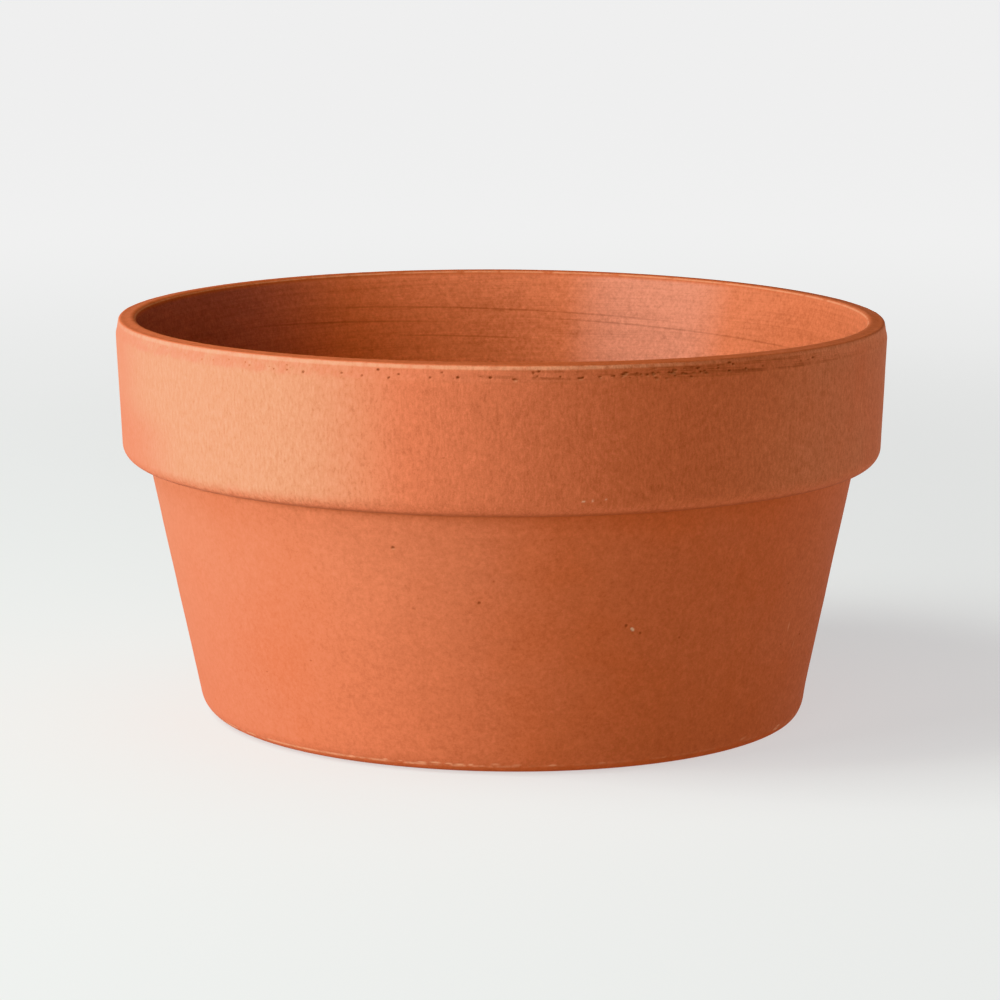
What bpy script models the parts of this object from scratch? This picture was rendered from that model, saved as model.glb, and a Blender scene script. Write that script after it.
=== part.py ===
"""Low terracotta half pot (bulb pan): one fired clay body with a thick collar and a drain hole.

Metres, +Z up. The origin is the centre of the plane that the pot stands on, and the pot is a
turned shape about Z.
"""

import math

import bmesh
import bpy
from mathutils import Vector

# Outside of the pot
RIM_RADIUS = 0.1250
POT_HEIGHT = 0.1300
COLLAR_HEIGHT = 0.0460
COLLAR_FOOT_RADIUS = 0.1232
BODY_TOP_RADIUS = 0.1151
BASE_RADIUS = 0.0980

# Inside of the pot
LIP_WIDTH = 0.0063
FLOOR_THICKNESS = 0.0100
FLOOR_RADIUS = 0.0905
DRAIN_RADIUS = 0.0110

# Underside: a shallow dished middle leaves a flat ring to stand on
DISH_RADIUS = 0.0680
DISH_DEPTH = 0.0015
DISH_SLOPE = 0.0020

# Lip bevel and rounded corners
LIP_BEVEL_HEIGHT = 0.0035
LIP_BEVEL_WIDTH = 0.0012
BEVEL_ROUND = 0.0040
LIP_OUTER_ROUND = 0.0012
LIP_INNER_ROUND = 0.0022
COLLAR_FOOT_ROUND = 0.0048
CREASE_ROUND = 0.0010
BASE_ROUND = 0.0075
FLOOR_ROUND = 0.0120
DRAIN_ROUND = 0.0010

AROUND = 96
SHARP_ANGLE = math.radians(35)

TERRACOTTA_COLOUR = (0.62, 0.19, 0.075, 1.0)
TERRACOTTA_ROUGHNESS = 0.88


def clear_scene():
    for thing in list(bpy.context.scene.objects):
        bpy.data.objects.remove(thing, do_unlink=True)


def terracotta():
    material = bpy.data.materials.new("terracotta")
    material.use_nodes = True
    shader = material.node_tree.nodes["Principled BSDF"]
    shader.inputs["Base Color"].default_value = TERRACOTTA_COLOUR
    shader.inputs["Roughness"].default_value = TERRACOTTA_ROUGHNESS
    shader.inputs["Metallic"].default_value = 0.0
    return material


def rounded_corner(before, corner, after, radius, steps):
    """Points of the arc that rounds a corner between two straight stretches."""
    if steps == 0:
        return [corner]
    back = (before - corner).normalized()
    ahead = (after - corner).normalized()
    half_angle = back.angle(ahead) / 2
    tangent_length = radius / math.tan(half_angle)
    centre = corner + (back + ahead).normalized() * (radius / math.sin(half_angle))
    start = corner + back * tangent_length - centre
    end = corner + ahead * tangent_length - centre
    sweep = start.angle_signed(end)
    arc = []
    for step in range(steps + 1):
        turn = -sweep * step / steps
        x = start.x * math.cos(turn) - start.y * math.sin(turn)
        y = start.x * math.sin(turn) + start.y * math.cos(turn)
        arc.append(centre + Vector((x, y)))
    return arc


def pot_corners():
    """Corners of the half section as (radius, height, rounding, steps), once round the clay."""
    collar_foot = POT_HEIGHT - COLLAR_HEIGHT
    mouth_radius = RIM_RADIUS - LIP_WIDTH
    return [
        (DRAIN_RADIUS, DISH_DEPTH, DRAIN_ROUND, 1),
        (DISH_RADIUS, DISH_DEPTH, 0.0, 0),
        (DISH_RADIUS + DISH_SLOPE, 0.0, 0.0, 0),
        (BASE_RADIUS, 0.0, BASE_ROUND, 5),
        (BODY_TOP_RADIUS, collar_foot, CREASE_ROUND, 2),
        (COLLAR_FOOT_RADIUS, collar_foot, COLLAR_FOOT_ROUND, 4),
        (RIM_RADIUS, POT_HEIGHT - LIP_BEVEL_HEIGHT, BEVEL_ROUND, 2),
        (RIM_RADIUS - LIP_BEVEL_WIDTH, POT_HEIGHT, LIP_OUTER_ROUND, 2),
        (mouth_radius, POT_HEIGHT, LIP_INNER_ROUND, 3),
        (FLOOR_RADIUS, FLOOR_THICKNESS, FLOOR_ROUND, 5),
        (DRAIN_RADIUS, FLOOR_THICKNESS, DRAIN_ROUND, 1),
    ]


def pot_outline():
    """The closed half section of the clay, as (radius, height) points."""
    corners = pot_corners()
    outline = []
    for index, (radius, height, rounding, steps) in enumerate(corners):
        before = Vector(corners[index - 1][:2])
        after = Vector(corners[(index + 1) % len(corners)][:2])
        outline += rounded_corner(before, Vector((radius, height)), after, rounding, steps)
    return outline


def turned_solid(name, outline, material):
    """Spin a closed half section once about Z into a closed solid."""
    mesh = bpy.data.meshes.new(name)
    shape = bmesh.new()
    ring = [shape.verts.new((point.x, 0.0, point.y)) for point in outline]
    edges = [shape.edges.new((ring[index - 1], vert)) for index, vert in enumerate(ring)]
    bmesh.ops.spin(
        shape,
        geom=ring + edges,
        cent=(0.0, 0.0, 0.0),
        axis=(0.0, 0.0, 1.0),
        angle=math.tau,
        steps=AROUND,
        use_merge=True,
    )
    bmesh.ops.recalc_face_normals(shape, faces=shape.faces)
    shape.to_mesh(mesh)
    shape.free()
    mesh.shade_smooth()
    mesh.set_sharp_from_angle(angle=SHARP_ANGLE)
    mesh.materials.append(material)
    solid = bpy.data.objects.new(name, mesh)
    bpy.context.collection.objects.link(solid)
    return solid


def main():
    clear_scene()
    turned_solid("pot", pot_outline(), terracotta())


main()
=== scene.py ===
"""Terracotta half pot: one turned and fired clay body, on a pale floor in soft studio light.

Metres, +Z up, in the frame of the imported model. Azimuths are degrees round the pot, 0 at the front
(-Y) and growing towards +X. The clay wears turning rings, a sponged band of torn pits under the lip,
rubbed chips along the foot and a layered unglazed finish.
"""

import math
import random

import bmesh
import bpy
from mathutils import Matrix, Vector, kdtree, noise


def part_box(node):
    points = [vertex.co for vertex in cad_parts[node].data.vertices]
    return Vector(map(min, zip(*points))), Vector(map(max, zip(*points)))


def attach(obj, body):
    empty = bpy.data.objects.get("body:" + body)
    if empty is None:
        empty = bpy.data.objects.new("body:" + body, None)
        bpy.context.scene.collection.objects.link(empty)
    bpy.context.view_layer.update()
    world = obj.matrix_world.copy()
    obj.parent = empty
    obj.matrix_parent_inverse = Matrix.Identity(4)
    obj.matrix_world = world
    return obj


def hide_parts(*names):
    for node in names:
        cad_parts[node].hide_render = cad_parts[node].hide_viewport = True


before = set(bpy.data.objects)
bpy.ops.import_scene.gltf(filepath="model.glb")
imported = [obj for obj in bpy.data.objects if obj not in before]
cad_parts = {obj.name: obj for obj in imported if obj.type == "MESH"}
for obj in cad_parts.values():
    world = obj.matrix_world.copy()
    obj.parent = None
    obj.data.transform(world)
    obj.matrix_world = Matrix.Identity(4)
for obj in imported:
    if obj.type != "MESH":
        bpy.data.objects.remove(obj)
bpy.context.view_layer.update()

MM = 0.001

# Outer shape, from the frame's box and the pot's own driving dimensions
pot_low, pot_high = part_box("pot")
RIM_RADIUS = (pot_high.x - pot_low.x) / 2
POT_HEIGHT = pot_high.z
COLLAR_FOOT = POT_HEIGHT - 46.0 * MM
COLLAR_FOOT_RADIUS = 123.2 * MM
BODY_TOP_RADIUS = 115.1 * MM
BASE_RADIUS = 98.0 * MM

# Inner shape
MOUTH_RADIUS = RIM_RADIUS - 6.3 * MM
CREST_LEAN = 1.0 * MM
CREST_DROP = 0.2 * MM
FLOOR_TOP = 10.0 * MM
FLOOR_RADIUS = 90.5 * MM
DRAIN_RADIUS = 11.0 * MM
DISH_RADIUS = 68.0 * MM
DISH_DEPTH = 1.5 * MM
STANDING_RING_RADIUS = 70.0 * MM

# The cone through the middle of the wall, between its inside and its outside
MID_WALL_RADIUS = 93.5 * MM
MID_WALL_TAPER = 0.2175

# How finely the clay is divided
AROUND = 288
OUTSIDE_STEP = 3.2 * MM
INSIDE_STEP = 2.6 * MM
FLAT_STEP = 5.0 * MM
ARC_STEP = 0.65 * MM
ARC_STEPS_MOST = 12
MARK_STEP = 0.30 * MM

# How far the hand-finished clay strays from the true turned shape
ROUND_ERROR = 0.20 * MM
INSIDE_RINGS = 0.20 * MM
OUTSIDE_RINGS = 0.08 * MM
FLOOR_RINGS = 0.25 * MM
RIM_WAVE = 0.45 * MM
FOOT_DRIFT = 1.1 * MM
DRAIN_TEAR = 0.35 * MM
FOOT_FULLNESS = 2.8 * MM

# Where the sponged band lies, just inside the rim's widest ring
BAND_RADIUS = RIM_RADIUS - 0.4 * MM


# ---------------------------------------------------------------- turned clay

def rounded_corner(before, corner, after, radius):
    """Points of the arc that rounds a corner between two straight stretches."""
    back = (before - corner).normalized()
    ahead = (after - corner).normalized()
    half_angle = back.angle(ahead) / 2
    tangent_length = radius / math.tan(half_angle)
    centre = corner + (back + ahead).normalized() * (radius / math.sin(half_angle))
    start = corner + back * tangent_length - centre
    end = corner + ahead * tangent_length - centre
    sweep = start.angle_signed(end)
    steps = min(max(2, round(abs(sweep) * radius / ARC_STEP)), ARC_STEPS_MOST)
    return [centre + Matrix.Rotation(-sweep * step / steps, 2) @ start for step in range(steps + 1)]


def clay_corners():
    """Corners of the half section: radius, height, rounding, and the step along the next stretch."""
    return [
        (DRAIN_RADIUS, DISH_DEPTH, 0.8 * MM, FLAT_STEP),
        (DISH_RADIUS, DISH_DEPTH, 0.6 * MM, FLAT_STEP),
        (STANDING_RING_RADIUS, 0.0, 0.6 * MM, FLAT_STEP),
        (BASE_RADIUS, 0.0, 7.5 * MM, OUTSIDE_STEP),
        (BODY_TOP_RADIUS, COLLAR_FOOT, 0.8 * MM, 1.0 * MM),
        (COLLAR_FOOT_RADIUS, COLLAR_FOOT, 5.0 * MM, OUTSIDE_STEP),
        (RIM_RADIUS, POT_HEIGHT - 4.8 * MM, 3.0 * MM, 0.5 * MM),
        (RIM_RADIUS - CREST_LEAN, POT_HEIGHT - CREST_DROP, 0.8 * MM, 0.6 * MM),
        (MOUTH_RADIUS, POT_HEIGHT + 0.25 * MM, 1.5 * MM, INSIDE_STEP),
        (FLOOR_RADIUS, FLOOR_TOP, 12.0 * MM, FLAT_STEP),
        (DRAIN_RADIUS, FLOOR_TOP, 1.2 * MM, FLAT_STEP / 3),
    ]


def clay_outline():
    """The closed half section of the clay, with its straight stretches divided."""
    corners = clay_corners()
    arcs = []
    for index, (radius, height, rounding, _) in enumerate(corners):
        before = Vector(corners[index - 1][:2])
        after = Vector(corners[(index + 1) % len(corners)][:2])
        arcs.append(rounded_corner(before, Vector((radius, height)), after, rounding))
    outline = []
    for index, arc in enumerate(arcs):
        outline += arc
        start = arc[-1]
        end = arcs[(index + 1) % len(arcs)][0]
        pieces = max(1, round((end - start).length / corners[index][3]))
        outline += [start.lerp(end, step / pieces) for step in range(1, pieces)]
    return outline


def skin_distances(outline):
    """How far each point of the outline lies from the crest: outside and below plus, inside minus."""
    crest_corner = Vector((RIM_RADIUS - CREST_LEAN, POT_HEIGHT - CREST_DROP))
    crest = min(range(len(outline)), key=lambda index: (outline[index] - crest_corner).length)
    distances = [0.0] * len(outline)
    for index in range(crest - 1, -1, -1):
        distances[index] = distances[index + 1] + (outline[index] - outline[index + 1]).length
    for index in range(crest + 1, len(outline)):
        distances[index] = distances[index - 1] - (outline[index] - outline[index - 1]).length
    return distances


def turned_clay():
    """Spin the half section once round the axis; each point keeps its distance from the crest."""
    shape = bmesh.new()
    skin = shape.verts.layers.float.new("skin")
    outline = clay_outline()
    ring = [shape.verts.new((point.x, 0.0, point.y)) for point in outline]
    for vert, distance in zip(ring, skin_distances(outline)):
        vert[skin] = distance
    edges = [shape.edges.new((ring[index - 1], vert)) for index, vert in enumerate(ring)]
    bmesh.ops.spin(
        shape,
        geom=ring + edges,
        cent=(0.0, 0.0, 0.0),
        axis=(0.0, 0.0, 1.0),
        angle=math.tau,
        steps=AROUND,
        use_merge=True,
    )
    bmesh.ops.recalc_face_normals(shape, faces=shape.faces)
    return shape


def on_inside(point):
    """True on the wall and floor that face the planting space."""
    radius = math.hypot(point.x, point.y)
    return point.z > FLOOR_TOP / 2 and radius < MID_WALL_RADIUS + MID_WALL_TAPER * point.z


def hand_of_the_wheel(shape):
    """Turning rings, a rim that is a little out of true, and a foot slightly off the rim's axis."""
    for vert in shape.verts:
        point = vert.co.copy()
        radius = math.hypot(point.x, point.y)
        angle = math.atan2(point.y, point.x)
        share = point.z / POT_HEIGHT
        out = Vector((point.x / radius, point.y / radius, 0.0))
        round_error = ROUND_ERROR * (math.sin(2 * angle + 0.6) + 0.45 * math.sin(3 * angle + 2.1))
        push = round_error * share * min(1.0, radius / BASE_RADIUS)
        rise = 0.0
        slow_swirl = Vector((out.x * 2.0, out.y * 2.0, point.z * 45.0))
        fast_swirl = Vector((out.x * 1.2, out.y * 1.2, point.z * 140.0 + 7.0))
        if on_inside(point):
            near_wall = min(1.0, radius / FLOOR_RADIUS) ** 4
            push += near_wall * INSIDE_RINGS * (noise.noise(slow_swirl) + 0.7 * noise.noise(fast_swirl))
            floor_swirl = Vector((out.x * 0.6, out.y * 0.6, radius * 110.0))
            rise += (1.0 - near_wall) * FLOOR_RINGS * noise.noise(floor_swirl)
        elif point.z > 0.5 * MM and radius > BASE_RADIUS - 8.0 * MM:
            push += OUTSIDE_RINGS * (noise.noise(slow_swirl * 1.5) + 0.35 * noise.noise(fast_swirl))
        if point.z < 10.0 * MM and radius > BASE_RADIUS - 9.0 * MM and not on_inside(point):
            right = max(0.0, math.cos(angle + math.radians(20))) ** 1.5
            on_arc = min(1.0, (radius - BASE_RADIUS + 9.0 * MM) / (1.6 * MM))
            push += FOOT_FULLNESS * right * on_arc * math.exp(-point.z / (2.4 * MM))
        by_drain = math.exp(-((radius - DRAIN_RADIUS) / (2.5 * MM)) ** 2)
        push += by_drain * DRAIN_TEAR * noise.noise(out * 3.0)
        rise -= RIM_WAVE * math.cos(2 * angle) * share ** 6
        vert.co = point + out * push + Vector((FOOT_DRIFT * (0.5 - share), 0.0, rise))


def lip_ridges(shape):
    """The sponge leaves a fine crest round the mouth and a slightly sunken, dragged band below it."""
    skin = shape.verts.layers.float["skin"]
    for vert in shape.verts:
        down = vert[skin] / MM
        if abs(down) > 7.0:
            continue
        out = Vector((vert.co.x, vert.co.y, 0.0)).normalized()
        azimuth = math.degrees(math.atan2(out.x, -out.y))
        torn = 1.0 + 1.6 * math.exp(-((azimuth - 26.0) / 16.0) ** 2)
        rough = noise.noise(Vector((out.x * 70.0, out.y * 70.0, down * 0.9)))
        coarse = noise.noise(Vector((out.x * 14.0, out.y * 14.0, 4.0)))
        band = math.exp(-((down - 3.4) / 1.4) ** 2)
        bead = math.exp(-((down - 0.3) / 0.6) ** 2)
        trough = math.exp(-((down + 1.8) / 1.0) ** 2)
        vert.co += out * (band * MM * (0.09 * torn * rough + 0.07 * coarse - 0.12))
        vert.co.z += MM * (bead * (0.08 + 0.07 * rough + 0.08 * coarse) - 0.07 * trough)


# ---------------------------------------------------------------- pits, crumbs and chips

class Mark:
    """A small dent, crumb or chip: where it is, how it lies, how big and deep it is, and its stain."""

    def __init__(self, azimuth, radius, height, size, depth, stretch=1.0, tilt=0.0, layer="pit", stain=1.0):
        turn = math.radians(azimuth)
        out = Vector((math.sin(turn), -math.cos(turn), 0.0))
        side = Vector((math.cos(turn), math.sin(turn), 0.0))
        self.centre = out * radius + Vector((0.0, 0.0, height))
        self.centre.x += FOOT_DRIFT * (0.5 - height / POT_HEIGHT)
        self.along = Matrix.Rotation(math.radians(tilt), 3, out) @ side
        self.size = size
        self.depth = depth
        self.stretch = stretch
        self.layer = layer
        self.stain = stain

    def reach(self):
        return self.size * max(1.0, self.stretch)

    def share_at(self, point, normal):
        """How strongly the mark acts at a point, from 1 in its middle to 0 at its edge."""
        offset = point - self.centre
        offset -= normal * offset.dot(normal)
        along = offset.dot(self.along) / (self.size * self.stretch)
        across = (offset - self.along * offset.dot(self.along)).length / self.size
        spread = along * along + across * across
        return (1.0 - spread) ** 2 if spread < 1.0 else 0.0


def body_radius(height):
    """Outer radius of the tapered body at a height."""
    return BASE_RADIUS + (BODY_TOP_RADIUS - BASE_RADIUS) * height / COLLAR_FOOT


def collar_radius(height):
    """Outer radius of the collar at a height."""
    share = (height - COLLAR_FOOT) / (POT_HEIGHT - COLLAR_FOOT)
    return COLLAR_FOOT_RADIUS + (RIM_RADIUS - COLLAR_FOOT_RADIUS) * share


def inner_radius(height):
    """Radius of the inner wall at a height."""
    share = (height - FLOOR_TOP) / (POT_HEIGHT - FLOOR_TOP)
    return FLOOR_RADIUS + (MOUTH_RADIUS - FLOOR_RADIUS) * share


def pit_with_crumb(azimuth, radius, height, size, stretch, stain=1.0):
    """A torn pit, with the crumb that it came from smeared along its lower edge."""
    pit = Mark(azimuth, radius, height, size, 0.45 * size, stretch, stain=stain)
    low = height - 1.1 * size
    pale = 0.4 * stain
    crumb = Mark(azimuth + 0.1, radius, low, 0.8 * size, -0.2 * size, stretch, layer="worn", stain=pale)
    return [pit, crumb]


def band_pits(chance):
    """Torn pits in the sponged band under the lip: thin on the left, crowded right of the front."""
    marks = []
    for _ in range(250):
        azimuth = chance.uniform(-180.0, 180.0)
        crowd = math.exp(-((azimuth - 24.0) / 9.0) ** 2)
        crowd += 0.4 * math.exp(-((azimuth - 50.0) / 14.0) ** 2)
        if chance.random() > 0.22 + 0.78 * crowd:
            continue
        height = POT_HEIGHT - (chance.gauss(3.3, 0.6) - 1.0 * crowd * chance.random()) * MM
        size = chance.uniform(0.24, 0.44) * MM
        stretch = chance.uniform(1.0, 1.8) + crowd * chance.uniform(0.0, 1.6)
        stain = chance.uniform(0.35, 1.0)
        if chance.random() < 0.4:
            marks += pit_with_crumb(azimuth, BAND_RADIUS, height, size, stretch, stain)
        else:
            marks.append(Mark(azimuth, BAND_RADIUS, height, size, 0.4 * size, stretch, stain=stain))
    for _ in range(34):
        azimuth = chance.gauss(24.5, 6.0)
        height = POT_HEIGHT - chance.gauss(3.0, 0.80) * MM
        size = chance.uniform(0.30, 0.50) * MM
        stretch = chance.uniform(1.2, 3.0)
        stain = chance.uniform(0.5, 0.95)
        marks += pit_with_crumb(azimuth, BAND_RADIUS, height, size, stretch, stain)
    torn_row = [
        # Azimuth, then how far below the crest and how big, in mm
        (-50.5, 3.4, 0.32),
        (-46.7, 3.8, 0.42),
        (-44.3, 3.5, 0.34),
        (-38.0, 2.8, 0.38),
        (-37.2, 3.6, 0.46),
        (-32.9, 3.9, 0.38),
        (-30.7, 3.8, 0.44),
        (-28.1, 4.0, 0.60),
        (-19.2, 3.9, 0.50),
        (-16.9, 1.9, 0.58),
        (-15.3, 4.0, 0.38),
        (-14.0, 3.0, 0.44),
        (-9.6, 3.6, 0.46),
        (-8.0, 2.0, 0.44),
        (-5.8, 3.4, 0.58),
        (-1.4, 3.3, 0.56),
        (4.4, 1.9, 0.48),
        (5.2, 1.4, 0.42),
        (11.2, 3.4, 0.46),
        (15.6, 3.2, 0.50),
    ]
    for azimuth, drop, size in torn_row:
        height = POT_HEIGHT - drop * MM
        stretch = chance.uniform(1.0, 1.5)
        marks.append(Mark(azimuth, BAND_RADIUS, height, size * MM, 0.5 * size * MM, stretch, stain=0.95))
    marks += pit_with_crumb(1.9, BAND_RADIUS, POT_HEIGHT - 3.8 * MM, 0.46 * MM, 2.6)
    return marks


def wall_marks(chance):
    """Sparse pits and grit, anywhere on the body, the collar and the inside."""
    marks = []
    for _ in range(16):
        height = chance.uniform(12, 78) * MM
        size = chance.uniform(0.28, 0.42) * MM
        azimuth = chance.uniform(-180.0, 180.0)
        stretch = chance.uniform(1.0, 2.2)
        marks.append(Mark(azimuth, body_radius(height), height, size, size * 0.4, stretch, stain=0.6))
    for _ in range(12):
        height = POT_HEIGHT - chance.uniform(7, 38) * MM
        size = chance.uniform(0.26, 0.40) * MM
        azimuth = chance.uniform(-180.0, 180.0)
        marks.append(Mark(azimuth, collar_radius(height), height, size, size * 0.35, 1.3, stain=0.55))
    for _ in range(14):
        height = chance.uniform(25, 122) * MM
        size = chance.uniform(0.28, 0.5) * MM
        azimuth = chance.uniform(-180.0, 180.0)
        stretch = chance.uniform(1.0, 2.5)
        marks.append(Mark(azimuth, inner_radius(height), height, size, size * 0.4, stretch, stain=0.5))
    return marks


def front_marks():
    """The marks that this pot is known by, on the side that faces the front."""
    def on_body(azimuth, height, size, depth, **more):
        return Mark(azimuth, body_radius(height * MM), height * MM, size * MM, depth * MM, **more)

    def on_collar(azimuth, height, size, depth, **more):
        return Mark(azimuth, collar_radius(height * MM), height * MM, size * MM, depth * MM, **more)

    marks = pit_with_crumb(-16.8, body_radius(72.7 * MM), 72.7 * MM, 0.45 * MM, 2.2)
    marks += [
        # A brown pit and its two faint neighbours
        on_body(-3.5, 56.1, 0.60, 0.30, stretch=1.3, tilt=30.0, stain=0.7),
        on_body(-1.2, 63.0, 0.40, 0.15, stretch=1.4, stain=0.45),
        on_body(-14.0, 53.5, 0.50, 0.15, stretch=1.8, tilt=-20.0, stain=0.4),
        # A grain of lime with a torn pit on each side
        on_body(21.7, 46.2, 0.60, 0.20, stretch=1.9, tilt=-40.0, layer="lime", stain=0.75),
        on_body(20.6, 47.6, 0.60, 0.35, stretch=1.2, tilt=-30.0, stain=0.8),
        on_body(23.2, 44.8, 0.50, 0.30, stretch=1.2, tilt=-50.0, stain=0.7),
        # Two long scratches and a pit low on the right, and a pit low on the left
        on_body(58.9, 38.0, 0.45, 0.08, stretch=9.0, tilt=84.0, layer="worn", stain=0.55),
        on_body(62.5, 31.0, 0.40, 0.08, stretch=7.0, tilt=86.0, layer="worn", stain=0.45),
        on_body(64.5, 33.5, 0.45, 0.30, stretch=1.4, stain=0.9),
        on_body(-67.0, 9.7, 0.50, 0.25, stain=0.6),
        # Three crumbs low on the collar, two faint pits above, and one crumb on the inside
        on_collar(11.4, 89.2, 0.42, 0.05, stretch=1.8, layer="lime", stain=0.55),
        on_collar(12.7, 89.4, 0.38, 0.05, stretch=1.3, layer="lime", stain=0.5),
        on_collar(14.6, 89.6, 0.34, 0.05, stretch=1.2, layer="lime", stain=0.35),
        on_collar(-31.0, 109.2, 0.45, 0.10, stretch=1.2, stain=0.5),
        on_collar(-31.5, 98.5, 0.35, 0.10, stretch=2.4, tilt=90.0, stain=0.55),
        Mark(-133.2, inner_radius(120.1 * MM), 120.1 * MM, 0.50 * MM, 0.10 * MM, layer="lime", stain=0.6),
    ]
    return marks


def foot_marks(chance):
    """Chips rubbed off the rounded edge of the foot, paler than the skin of the clay."""
    marks = []
    front_chips = ((-21.5, 3.0), (-14.6, 5.0), (-12.0, 6.5), (-9.6, 4.0), (-7.6, 5.0), (-5.6, 2.5))
    for azimuth, stretch in front_chips:
        size = chance.uniform(0.34, 0.46) * MM
        height = chance.gauss(3.7, 0.2) * MM
        marks.append(Mark(azimuth, BASE_RADIUS - 0.6 * MM, height, size, 0.25 * size, stretch, layer="worn"))
    for _ in range(42):
        azimuth = chance.uniform(-180.0, 180.0)
        height = chance.gauss(3.2, 0.5) * MM
        size = chance.uniform(0.28, 0.5) * MM
        stretch = chance.uniform(1.8, 5.5)
        stain = chance.uniform(0.3, 0.9)
        radius = BASE_RADIUS - 0.7 * MM
        marks.append(Mark(azimuth, radius, height, size, 0.25 * size, stretch, layer="worn", stain=stain))
    return marks


def touches(mark, edge):
    """True where an edge runs through a mark or close by it."""
    start = edge.verts[0].co
    run = edge.verts[1].co - start
    share = min(1.0, max(0.0, (mark.centre - start).dot(run) / run.length_squared))
    return (start + run * share - mark.centre).length < mark.reach() + 0.5 * MM


def faces_near(shape, marks):
    """Every face that a mark touches."""
    faces = kdtree.KDTree(len(shape.faces))
    for index, face in enumerate(shape.faces):
        faces.insert(face.calc_center_median(), index)
    faces.balance()
    shape.faces.ensure_lookup_table()
    touched = set()
    for mark in marks:
        for _, index, _ in faces.find_range(mark.centre, mark.reach() + 2.2 * MM):
            face = shape.faces[index]
            if any(touches(mark, edge) for edge in face.edges):
                touched.add(face)
    return touched


def divide_near(shape, marks):
    """Cut the faces near the marks finely: first the edges that run round the pot, then the others."""
    for round_the_pot in (True, False):
        groups = {}
        for edge in {edge for face in faces_near(shape, marks) for edge in face.edges}:
            run = edge.verts[1].co - edge.verts[0].co
            out = Vector((edge.verts[0].co.x, edge.verts[0].co.y, 0.0)).normalized()
            runs_round = abs(run.cross(out).z) > 0.7 * run.length
            if runs_round == round_the_pot:
                halvings = max(0, round(math.log2(run.length / MARK_STEP)))
                groups.setdefault(2 ** halvings - 1, []).append(edge)
        for cuts, edges in sorted(groups.items()):
            if cuts:
                bmesh.ops.subdivide_edges(shape, edges=edges, cuts=cuts, use_grid_fill=True)
    shape.normal_update()


def press_marks(shape, marks):
    """Divide the clay finely around the marks, then press them into it and stain them."""
    divide_near(shape, marks)
    verts = kdtree.KDTree(len(shape.verts))
    for index, vert in enumerate(shape.verts):
        verts.insert(vert.co, index)
    verts.balance()
    shape.verts.ensure_lookup_table()
    layers = {name: shape.verts.layers.float.new(name) for name in ("pit", "worn", "lime")}
    for mark in marks:
        layer = layers[mark.layer]
        for _, index, _ in verts.find_range(mark.centre, mark.reach() + 1.0 * MM):
            vert = shape.verts[index]
            share = mark.share_at(vert.co, vert.normal)
            if share > 0.0:
                vert.co -= vert.normal * mark.depth * share
                vert[layer] = max(vert[layer], min(1.0, share * 1.6) * mark.stain)
    shape.normal_update()


def terracotta_pot():
    """The whole clay body as one finished piece."""
    shape = turned_clay()
    hand_of_the_wheel(shape)
    lip_ridges(shape)
    chance = random.Random(41)
    press_marks(shape, band_pits(chance) + wall_marks(chance) + foot_marks(chance) + front_marks())
    mesh = bpy.data.meshes.new("terracotta_pot")
    shape.to_mesh(mesh)
    shape.free()
    mesh.shade_smooth()
    piece = bpy.data.objects.new("terracotta_pot", mesh)
    bpy.context.collection.objects.link(piece)
    return piece


# ---------------------------------------------------------------- unglazed finish

class Wire:
    """An output of a finish's node; arithmetic on it adds the Math nodes that work it out."""

    def __init__(self, finish, socket):
        self.finish = finish
        self.socket = socket

    def math(self, operation, *values):
        return self.finish.node("ShaderNodeMath", {"operation": operation}, dict(enumerate(values)))

    def __add__(self, other):
        return self.math("ADD", self, other)

    __radd__ = __add__

    def __sub__(self, other):
        return self.math("SUBTRACT", self, other)

    def __rsub__(self, other):
        return self.math("SUBTRACT", other, self)

    def __mul__(self, other):
        return self.math("MULTIPLY", self, other)

    __rmul__ = __mul__


class Finish:
    """A material that is put together from nodes."""

    def __init__(self, name):
        self.material = bpy.data.materials.new(name)
        self.material.use_nodes = True
        self.tree = self.material.node_tree
        self.shader = self.tree.nodes["Principled BSDF"]

    def feed(self, socket, value):
        """Put a value on a socket, or link a wire to it."""
        if isinstance(value, Wire):
            self.tree.links.new(value.socket, socket)
        elif value is not None:
            socket.default_value = value

    def node(self, kind, settings=None, sockets=None, out=0):
        """Add a node, set it up, feed its sockets, and return its output."""
        node = self.tree.nodes.new(kind)
        for name, value in (settings or {}).items():
            setattr(node, name, value)
        for key, value in (sockets or {}).items():
            self.feed(node.inputs[key], value)
        return Wire(self, node.outputs[out])

    def noise(self, place, scale, detail=2.0, roughness=0.5):
        """Smooth noise from about 0 to 1; scale is features per metre."""
        sockets = {"Vector": place, "Scale": scale, "Detail": detail, "Roughness": roughness}
        return self.node("ShaderNodeTexNoise", None, sockets, "Fac")

    def between(self, value, low, high):
        """0 below low, 1 above high, with a smooth step from one to the other."""
        settings = {"interpolation_type": "SMOOTHSTEP"}
        sockets = {"Value": value, "From Min": low, "From Max": high}
        return self.node("ShaderNodeMapRange", settings, sockets)

    def stretched(self, place, x, y, z):
        """The place with each of its directions scaled."""
        settings = {"operation": "MULTIPLY"}
        return self.node("ShaderNodeVectorMath", settings, {0: place, 1: (x, y, z)})

    def blend(self, first, second, share):
        """One colour laid over another."""
        settings = {"data_type": "RGBA", "clamp_factor": True}
        return self.node("ShaderNodeMix", settings, {0: share, 6: first, 7: second}, 2)

    def shaded(self, colour, tone):
        """A colour made darker or lighter by a number."""
        return self.node("ShaderNodeVectorMath", {"operation": "SCALE"}, {0: colour, "Scale": tone})

    def attribute(self, name):
        """A number that the mesh carries."""
        return self.node("ShaderNodeAttribute", {"attribute_name": name}, None, "Fac")


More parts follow.
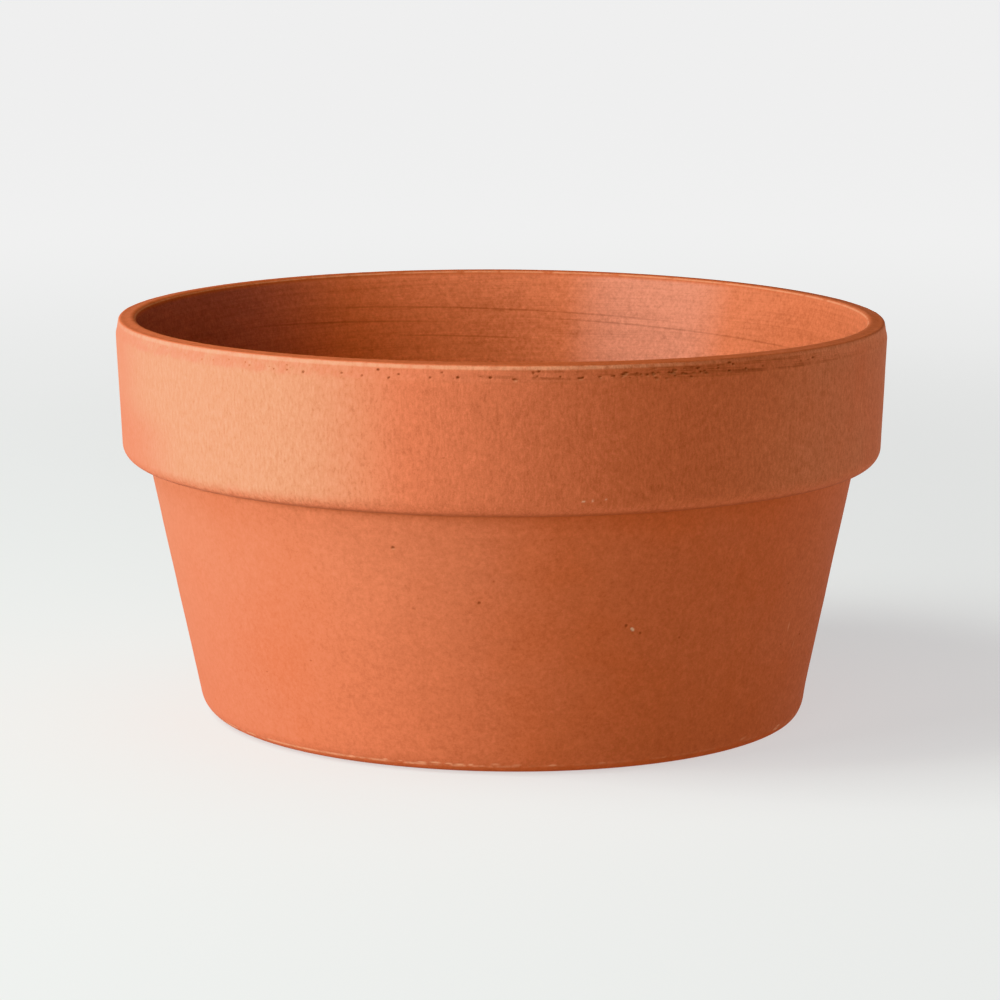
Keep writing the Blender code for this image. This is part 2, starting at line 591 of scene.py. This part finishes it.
# Linear colours of the fired clay, and of the painted light and shade laid on it
BODY_CLAY = (0.452, 0.124, 0.061, 1.0)
RED_CLAY = (0.430, 0.098, 0.040, 1.0)
LIP_CLAY = (0.380, 0.088, 0.036, 1.0)
COLLAR_CLAY = (0.468, 0.132, 0.067, 1.0)
# Pale clay: dust on the collar, and painted light on the lit left of the body
DUST_AND_LIGHT_CLAY = (0.472, 0.156, 0.082, 1.0)
SANDY_BLOOM_AND_PAINTED_SHEEN = (0.480, 0.204, 0.112, 1.0)
BAND_CLAY = (0.446, 0.132, 0.070, 1.0)
INNER_CLAY = (0.475, 0.141, 0.072, 1.0)
INNER_PAINTED_GLARE = (0.508, 0.188, 0.122, 1.0)
INNER_PAINTED_SHADE_RED = (0.418, 0.116, 0.056, 1.0)
INNER_PAINTED_SHADE_BROWN = (0.350, 0.135, 0.100, 1.0)
PIT_BROWN = (0.120, 0.032, 0.016, 1.0)
RUBBED_AND_HIGHLIGHT_CLAY = (0.640, 0.285, 0.160, 1.0)
LIME = (0.660, 0.460, 0.300, 1.0)

# How steeply the lines wiped round the inside climb towards -X
WIPE_CLIMB = 0.034

# The longest of those lines: height in mm, azimuth of the middle, and degrees to either side
WIPED_LINES = ((114.6, 148.0, 34.0), (107.2, -173.0, 15.0), (112.0, -150.0, 24.0), (117.0, 180.0, 40.0))


class Place:
    """Where a point of the clay lies: the coordinates and zones that the finish is laid out by."""

    def __init__(self, clay):
        self.clay = clay
        self.here = clay.node("ShaderNodeTexCoord", None, None, "Object")
        self.height = clay.node("ShaderNodeSeparateXYZ", None, {0: self.here}, "Z")
        flat = clay.stretched(self.here, 1.0, 1.0, 0.0)
        self.around = clay.node("ShaderNodeVectorMath", {"operation": "NORMALIZE"}, {0: flat})
        self.skin = clay.attribute("skin")
        ragged = clay.noise(self.here, 190.0, 4.0, 0.6)
        drawn_edge = clay.noise(clay.stretched(self.here, 1.0, 1.0, 0.12), 420.0, 2.0)

        self.inside = clay.between(-1.0 * self.skin, 5.6 * MM, 7.2 * MM)
        self.outside = clay.between(self.skin, -0.2 * MM, 0.4 * MM)
        above_foot = self.height - COLLAR_FOOT
        self.collar = self.outside * clay.between(above_foot, 0.5 * MM, 1.5 * MM)
        frayed = above_foot + 3.0 * MM * drawn_edge
        self.above_shoulder = self.outside * clay.between(frayed, 1.5 * MM, 7.5 * MM)
        # Painted shade: the body just under the collar is darkened along the crease
        from_crease = self.distance(self.height, COLLAR_FOOT + 0.2 * MM)
        self.painted_crease_shade = self.outside * (1.0 - clay.between(from_crease, 0.3 * MM, 1.6 * MM))
        band_edge = self.skin + 2.0 * MM * (ragged - 0.5)
        self.band = self.outside * (1.0 - clay.between(band_edge, 3.8 * MM, 5.9 * MM))
        self.lip_top = clay.between(-1.0 * self.skin, -0.4 * MM, 0.1 * MM) * (1.0 - self.inside)
        # The crest and the inner edge carry pale lines: a rubbed edge with a painted highlight on it
        crest = 1.0 - clay.between(self.distance(self.skin, 0.8 * MM), 0.20 * MM, 0.80 * MM)
        inner_edge = 1.0 - clay.between(self.distance(self.skin, -5.4 * MM), 0.1 * MM, 0.5 * MM)
        self.crest = crest * clay.between(ragged, 0.25, 0.55)
        self.inner_edge = inner_edge * clay.between(ragged, 0.30, 0.50)
        foot_edge = self.height + 1.2 * MM * ragged
        self.foot = self.outside * (1.0 - clay.between(foot_edge, 2.2 * MM, 4.2 * MM))
        # A pale line round the foot: a worn edge, with a painted highlight that is stronger on the lit left
        # side
        from_line = self.distance(self.height, 2.7 * MM)
        foot_line = self.outside * (1.0 - clay.between(from_line, 0.15 * MM, 0.60 * MM))
        foot_line = foot_line * (0.25 + 0.75 * self.facing(-38.0, 48.0, 24.0))
        self.foot_line = foot_line * clay.between(ragged, 0.38, 0.56)

    def distance(self, measure, line):
        """How far a measure of a point, such as its height, is from a line's."""
        return self.clay.node("ShaderNodeMath", {"operation": "ABSOLUTE"}, {0: measure - line})

    def scratch(self, tilted, height, azimuth, reach):
        """A fine line wiped round the inside at a height in mm, fading towards both of its ends."""
        away = self.distance(tilted, height * MM)
        line = 1.0 - self.clay.between(away, 0.10 * MM, 0.45 * MM)
        return line * self.facing(azimuth, reach, 0.3 * reach)

    def facing(self, azimuth, none, full):
        """1 where the pot's side faces an azimuth, fading to 0: full and none in degrees away."""
        turn = math.radians(azimuth)
        sockets = {0: self.around, 1: (math.sin(turn), -math.cos(turn), 0.0)}
        side = self.clay.node("ShaderNodeVectorMath", {"operation": "DOT_PRODUCT"}, sockets, "Value")
        return self.clay.between(side, math.cos(math.radians(none)), math.cos(math.radians(full)))


def terracotta_finish():
    """Matt fired clay: dusty collar with drawn grain, a sandy bloom partly painted as sheen, wiped body,
    darker inside, with painted light and shade.
    """
    clay = Finish("terracotta")
    place = Place(clay)

    # Patterns: grain drawn upwards, strokes wiped round, and plain grit
    drawn_place = clay.stretched(place.here, 1.0, 1.0, 0.35)
    drawn = clay.noise(drawn_place, 1250.0, 3.0, 0.65)
    grit = clay.noise(place.here, 2300.0, 2.0, 0.6)
    grain = clay.noise(place.here, 1000.0, 3.0, 0.6)
    speckle = clay.noise(place.here, 520.0, 2.0, 0.5)
    mottle = clay.noise(place.here, 210.0, 3.0, 0.6)
    clouds = clay.noise(place.here, 22.0, 3.0, 0.55)
    sockets = {0: place.here, 1: (WIPE_CLIMB, 0.0, 1.0)}
    tilted = clay.node("ShaderNodeVectorMath", {"operation": "DOT_PRODUCT"}, sockets, "Value")
    rise = clay.node("ShaderNodeCombineXYZ", None, {"Z": tilted - place.height - place.skin})
    settings = {"operation": "MULTIPLY_ADD"}
    sockets = {0: rise, 1: (0.0, 0.0, 420.0), 2: place.around}
    wiped = clay.noise(clay.node("ShaderNodeVectorMath", settings, sockets), 2.6, 3.0, 0.6)
    sockets = {0: rise, 1: (0.0, 0.0, 90.0), 2: place.around}
    soft_wiped = clay.noise(clay.node("ShaderNodeVectorMath", settings, sockets), 2.2, 3.0, 0.6)

    # Colour, zone by zone
    colour = clay.blend(BODY_CLAY, RED_CLAY, clay.between(clouds, 0.45, 0.75) * 0.4)
    # Painted light: the upper body on the lit left side is made paler
    painted_light_left_body = clay.between(place.height, 15.0 * MM, 75.0 * MM) * place.facing(-52.0, 75.0, 20.0)
    colour = clay.blend(colour, DUST_AND_LIGHT_CLAY, painted_light_left_body * 0.42)
    low_left = 1.0 - clay.between(place.height, 97.0 * MM, 111.0 * MM)
    low_left = low_left * place.facing(-88.0, 38.0, 14.0)
    colour = clay.blend(colour, COLLAR_CLAY, place.collar)
    dust = 1.0 - place.facing(6.0, 48.0, 6.0)
    dust = dust * (1.0 - 0.8 * low_left) * clay.between(clouds, 0.1, 0.6)
    colour = clay.blend(colour, DUST_AND_LIGHT_CLAY, place.above_shoulder * dust)
    # The collar's pale sandy colour is partly real bloom and partly painted sheen: its front part lies on
    # the lit left side
    front_bloom_and_painted_sheen = place.facing(-45.0, 33.0, 7.0) * (1.0 - 0.8 * low_left)
    back_bloom = place.facing(150.0, 60.0, 10.0) * clay.between(clouds, 0.35, 0.65)
    bloom_and_painted_sheen = place.above_shoulder * (front_bloom_and_painted_sheen + back_bloom) * (0.45 + 0.9 * drawn)
    colour = clay.blend(colour, SANDY_BLOOM_AND_PAINTED_SHEEN, bloom_and_painted_sheen)
    band_share = (0.08 + 0.60 * place.facing(-70.0, 100.0, 30.0)) * clay.between(mottle, 0.25, 0.60)
    colour = clay.blend(colour, BAND_CLAY, place.band * band_share)
    dusty_lip = 0.60 * place.facing(75.0, 62.0, 22.0)
    colour = clay.blend(colour, LIP_CLAY, place.lip_top * (0.85 - dusty_lip))
    upper_wall = clay.between(place.height, 45.0 * MM, 95.0 * MM)
    # Painted light and shade on the upper inner wall: a pale painted glare at the back right, red painted
    # shade at the right end, brown painted shade on the left wall
    inner = clay.blend(INNER_CLAY, INNER_PAINTED_GLARE, upper_wall * place.facing(153.0, 17.0, 3.0))
    inner = clay.blend(inner, INNER_PAINTED_SHADE_RED, upper_wall * place.facing(104.0, 32.0, 12.0))
    inner = clay.blend(inner, INNER_PAINTED_SHADE_BROWN, upper_wall * place.facing(-108.0, 46.0, 14.0))
    colour = clay.blend(colour, inner, place.inside)
    front = place.facing(-25.0, 64.0, 24.0)
    # Pale lines on the crest and inner edge: rubbed edges and a painted highlight, stronger at the front
    rubbed_and_highlight = place.crest * (0.10 + 0.58 * front) + place.inner_edge * (0.45 + 0.30 * front)
    colour = clay.blend(colour, RUBBED_AND_HIGHLIGHT_CLAY, rubbed_and_highlight)
    colour = clay.blend(colour, RED_CLAY, place.foot * 0.8)
    colour = clay.blend(colour, RUBBED_AND_HIGHLIGHT_CLAY, place.foot_line * 0.55)

    tone = 1.0 + 0.18 * (mottle - 0.5)
    tone = tone + (0.42 + 0.24 * place.inside - 0.10 * place.collar) * (grain - 0.5)
    tone = tone + (0.28 + 0.16 * place.collar) * (grit - 0.5)
    tone = tone + (0.30 + 0.08 * place.inside - 0.10 * place.collar) * (speckle - 0.5)
    tone = tone + place.collar * (0.62 + 0.40 * front_bloom_and_painted_sheen) * (drawn - 0.5)
    tone = tone + place.inside * (0.22 * (soft_wiped - 0.5) + 0.52 * (wiped - 0.5))
    # Painted light: the upper inner wall at the back left is made lighter
    tone = tone + 0.18 * place.inside * upper_wall * place.facing(-149.0, 30.0, 6.0)
    stroke = clay.between(wiped, 0.60, 0.67) * 0.6
    for height, azimuth, reach in WIPED_LINES:
        stroke = stroke + place.scratch(tilted, height, azimuth, reach)
    stroke = place.inside * stroke
    dragged = clay.between(wiped, 0.46, 0.62) * clay.between(mottle, 0.35, 0.6)
    dragged = dragged * place.band * place.facing(26.0, 40.0, 10.0)
    tone = tone * (1.0 - 0.22 * stroke) * (1.0 - 0.34 * dragged * (1.0 - place.crest))
    # Painted light: the sponged band is made lighter on the right side
    painted_light_right_band = place.band * place.facing(76.0, 48.0, 18.0)
    # Painted shade darkens the crease under the collar
    tone = tone * (1.0 + 0.14 * painted_light_right_band) * (1.0 - 0.22 * place.painted_crease_shade)
    colour = clay.shaded(colour, tone)

    colour = clay.blend(colour, PIT_BROWN, clay.attribute("pit") * 0.82)
    colour = clay.blend(colour, RUBBED_AND_HIGHLIGHT_CLAY, clay.attribute("worn") * 0.8)
    colour = clay.blend(colour, LIME, clay.attribute("lime"))
    clay.feed(clay.shader.inputs["Base Color"], colour)

    # Sheen of the surface, and its relief
    roughness = 0.92 - 0.12 * place.lip_top - 0.12 * (grain - 0.5) + 0.05 * place.collar
    clay.feed(clay.shader.inputs["Roughness"], roughness)
    clay.feed(clay.shader.inputs["Specular IOR Level"], 0.28)
    relief = 0.6 * grain + 0.35 * grit + place.collar * 0.6 * drawn + place.inside * 0.8 * wiped
    sockets = {"Strength": 0.5, "Distance": 0.12 * MM, "Height": relief}
    bump = clay.node("ShaderNodeBump", None, sockets, "Normal")
    clay.feed(clay.shader.inputs["Normal"], bump)
    return clay.material


# ---------------------------------------------------------------- floor, light and camera

FLOOR_GREY = (0.30, 0.30, 0.30, 1.0)
NEAR_GLOW = (0.56, 0.56, 0.56, 1.0)
FAR_GLOW = (0.98, 0.98, 0.98, 1.0)
BACKDROP_GLOW = (0.55, 0.55, 0.55, 1.0)
FLOOR_RADIUS_OUT = 12.0
BACKDROP_HEIGHT = 2.2


def pale_floor():
    """A wide round floor and a low backdrop, evenly pale because they glow a little of their own."""
    shape = bmesh.new()
    bmesh.ops.create_circle(shape, cap_ends=True, segments=96, radius=FLOOR_RADIUS_OUT)
    edge = [edge for edge in shape.edges if edge.is_boundary]
    wall = bmesh.ops.extrude_edge_only(shape, edges=edge)["geom"]
    raised = [item for item in wall if isinstance(item, bmesh.types.BMVert)]
    bmesh.ops.translate(shape, verts=raised, vec=(0.0, 0.0, BACKDROP_HEIGHT))
    mesh = bpy.data.meshes.new("floor")
    shape.to_mesh(mesh)
    shape.free()
    floor = bpy.data.objects.new("floor", mesh)
    bpy.context.collection.objects.link(floor)
    finish = Finish("floor_paint")
    finish.feed(finish.shader.inputs["Base Color"], FLOOR_GREY)
    finish.feed(finish.shader.inputs["Roughness"], 0.9)
    here = finish.node("ShaderNodeTexCoord", None, None, "Object")
    away = finish.node("ShaderNodeVectorMath", {"operation": "LENGTH"}, {0: here}, "Value")
    glow = finish.blend(NEAR_GLOW, FAR_GLOW, finish.between(away, 0.3, 1.6))
    height = finish.node("ShaderNodeSeparateXYZ", None, {0: here}, "Z")
    glow = finish.blend(glow, BACKDROP_GLOW, finish.between(height, 0.0, 0.4))
    finish.feed(finish.shader.inputs["Emission Color"], glow)
    finish.feed(finish.shader.inputs["Emission Strength"], 1.0)
    mesh.materials.append(finish.material)


KEY_TINT = (0.93, 1.0, 0.94)


def place_on_ray(target, azimuth, elevation, distance):
    """A point seen from the target at an azimuth from the front, an elevation and a distance."""
    flat = distance * math.cos(elevation)
    rise = distance * math.sin(elevation)
    return target + Vector((flat * math.sin(azimuth), -flat * math.cos(azimuth), rise))


def soft_box(name, azimuth, elevation, distance, width, height, power, colour=(1.0, 1.0, 1.0)):
    """A rectangular studio light that faces the pot, placed by azimuth and elevation in degrees."""
    middle = Vector((0.0, 0.0, POT_HEIGHT / 2))
    light = bpy.data.lights.new(name, "AREA")
    light.shape = "RECTANGLE"
    light.size = width
    light.size_y = height
    light.energy = power
    light.color = colour
    lamp = bpy.data.objects.new(name, light)
    lamp.location = place_on_ray(middle, math.radians(azimuth), math.radians(elevation), distance)
    lamp.visible_camera = False
    lamp.rotation_euler = (middle - lamp.location).to_track_quat("-Z", "Y").to_euler()
    bpy.context.collection.objects.link(lamp)


def studio_light():
    """A low soft key from the left, a high one behind it, and two weak fills."""
    soft_box("key", -62, 12, 1.10, 0.60, 0.44, 13.0, KEY_TINT)
    soft_box("high_left", -75, 50, 1.10, 0.60, 0.60, 15.0, KEY_TINT)
    soft_box("front_fill", -14, 22, 1.20, 0.60, 0.60, 2.7)
    soft_box("right_fill", 102, 12, 0.80, 0.50, 0.30, 1.8)
    world = bpy.data.worlds.new("studio")
    world.use_nodes = True
    background = world.node_tree.nodes["Background"]
    background.inputs["Color"].default_value = (1.0, 1.0, 1.0, 1.0)
    background.inputs["Strength"].default_value = 0.0
    bpy.context.scene.world = world


# The camera stands five rim diameters away and looks down a little
CAMERA_DISTANCE = 1.25
CAMERA_ELEVATION = math.radians(10.14)
CAMERA_ROLL = math.radians(-0.34)
CAMERA_AIM = Vector((-0.64 * MM, 0.0, POT_HEIGHT / 2 + 3.3 * MM))
LENS = 137.0


def camera():
    """A long lens, aimed a touch above and left of the pot's middle."""
    middle = Vector((0.0, 0.0, POT_HEIGHT / 2))
    data = bpy.data.cameras.new("camera")
    data.lens = LENS
    data.sensor_width = 36.0
    data.clip_start = 0.05
    data.dof.use_dof = False
    eye = bpy.data.objects.new("camera", data)
    eye.location = place_on_ray(middle, 0.0, CAMERA_ELEVATION, CAMERA_DISTANCE)
    turn = (CAMERA_AIM - eye.location).to_track_quat("-Z", "Y").to_matrix()
    eye.rotation_euler = (turn @ Matrix.Rotation(-CAMERA_ROLL, 3, "Z")).to_euler()
    bpy.context.collection.objects.link(eye)
    bpy.context.scene.camera = eye


pot = terracotta_pot()
pot.data.materials.append(terracotta_finish())
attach(pot, "root")
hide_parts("pot")
pale_floor()
studio_light()
camera()
bpy.context.scene.view_settings.view_transform = "Khronos PBR Neutral"
